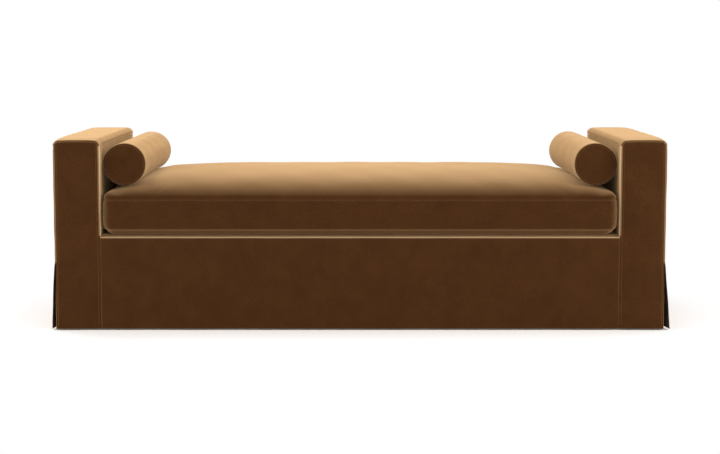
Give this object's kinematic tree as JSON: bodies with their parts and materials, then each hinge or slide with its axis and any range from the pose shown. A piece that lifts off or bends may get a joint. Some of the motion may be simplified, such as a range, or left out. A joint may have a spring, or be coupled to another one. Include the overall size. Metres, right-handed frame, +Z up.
{
  "type": "backless divan",
  "caption": "Backless divan with two low square arms, a floor-length velvet slipcover with corner kick pleats, one crowned seat cushion and two round bolsters.",
  "frame": {"origin": "on the floor, under the middle of the divan", "axes": "+X along the length, from the left arm to the right arm as seen from the front; +Y from front to back; +Z up"},
  "size_m": [2.176, 0.889, 0.669],
  "materials": {
    "slipcover_velvet": "cotton velvet, brown with a tan sheen",
    "cushion_velvet": "cotton velvet, brown with a tan sheen",
    "zip_metal": "bronzed",
    "zip_tape": "woven polyester tape with nylon coil",
    "foam": "open-cell foam",
    "fibre": "polyester fibre",
    "felt": "needled felt",
    "webbing": "woven elastic webbing",
    "cambric": "non-woven",
    "steel": "zinc plated",
    "glide_plastic": "nylon",
    "leg_wood": "stained beech",
    "plywood": "birch plywood",
    "frame_wood": "kiln-dried hardwood"
  },
  "bodies": {
    "frame": {"arm_back_board_left": "frame_wood", "arm_back_board_right": "frame_wood", "arm_foam_left": "foam", "arm_foam_right": "foam", "arm_front_board_left": "frame_wood", "arm_front_board_right": "frame_wood", "arm_inner_panel_left": "plywood", "arm_inner_panel_right": "plywood", "arm_outer_panel_left": "plywood", "arm_outer_panel_right": "plywood", "arm_posts": "frame_wood", "arm_ribs": "plywood", "arm_top_board_left": "plywood", "arm_top_board_right": "plywood", "back_rail": "frame_wood", "corner_blocks": "frame_wood", "cross_stretchers": "frame_wood", "cross_webbing": "webbing", "deck_end_rails": "frame_wood", "deck_felt": "felt", "deck_foam": "foam", "dust_cover": "cambric", "frame_screws": "steel", "front_rail": "frame_wood", "leg_bolts": "steel", "leg_glides": "glide_plastic", "legs": "leg_wood", "long_webbing": "webbing", "rail_foam": "foam", "side_rail_left": "frame_wood", "side_rail_right": "frame_wood"},
    "slipcover": {"cover_arm_back_left": "slipcover_velvet", "cover_arm_back_right": "slipcover_velvet", "cover_arm_front_left": "slipcover_velvet", "cover_arm_front_right": "slipcover_velvet", "cover_arm_inside_left": "slipcover_velvet", "cover_arm_inside_right": "slipcover_velvet", "cover_arm_outside_left": "slipcover_velvet", "cover_arm_outside_right": "slipcover_velvet", "cover_arm_top_left": "slipcover_velvet", "cover_arm_top_right": "slipcover_velvet", "cover_back": "slipcover_velvet", "cover_deck": "slipcover_velvet", "cover_front": "slipcover_velvet", "kick_pleats": "slipcover_velvet"},
    "seat_cushion": {"seat_cushion_cover": "cushion_velvet", "seat_fibre_wrap": "fibre", "seat_foam_core": "foam", "seat_zip": "zip_tape"},
    "seat_zip_slider": {"seat_zip_slider": "zip_metal"},
    "bolster_left": {"bolster_left_cover": "cushion_velvet", "bolster_left_ends": "cushion_velvet", "bolster_left_insert": "fibre", "bolster_left_zip": "zip_tape"},
    "bolster_right": {"bolster_right_cover": "cushion_velvet", "bolster_right_ends": "cushion_velvet", "bolster_right_insert": "fibre", "bolster_right_zip": "zip_tape"},
    "bolster_left_zip_slider": {"bolster_left_zip_slider": "zip_metal"},
    "bolster_right_zip_slider": {"bolster_right_zip_slider": "zip_metal"}
  },
  "joints": [
    {"name": "slipcover_lift", "type": "slide", "parent": "frame", "child": "slipcover", "axis": [0, 0, 1], "range_m": [0, 0.7]},
    {"name": "seat_cushion_lift", "type": "slide", "parent": "slipcover", "child": "seat_cushion", "axis": [0, 0, 1], "range_m": [0, 0.4]},
    {"name": "bolster_left_lift", "type": "slide", "parent": "seat_cushion", "child": "bolster_left", "axis": [0, 0, 1], "range_m": [0, 0.3]},
    {"name": "bolster_right_lift", "type": "slide", "parent": "seat_cushion", "child": "bolster_right", "axis": [0, 0, 1], "range_m": [0, 0.3]},
    {"name": "seat_zip", "type": "slide", "parent": "seat_cushion", "child": "seat_zip_slider", "axis": [1, 0, 0], "range_m": [0, 1.48]},
    {"name": "bolster_left_zip", "type": "slide", "parent": "bolster_left", "child": "bolster_left_zip_slider", "axis": [0, 1, 0], "range_m": [0, 0.58]},
    {"name": "bolster_right_zip", "type": "slide", "parent": "bolster_right", "child": "bolster_right_zip_slider", "axis": [0, 1, 0], "range_m": [0, 0.58]}
  ]
}
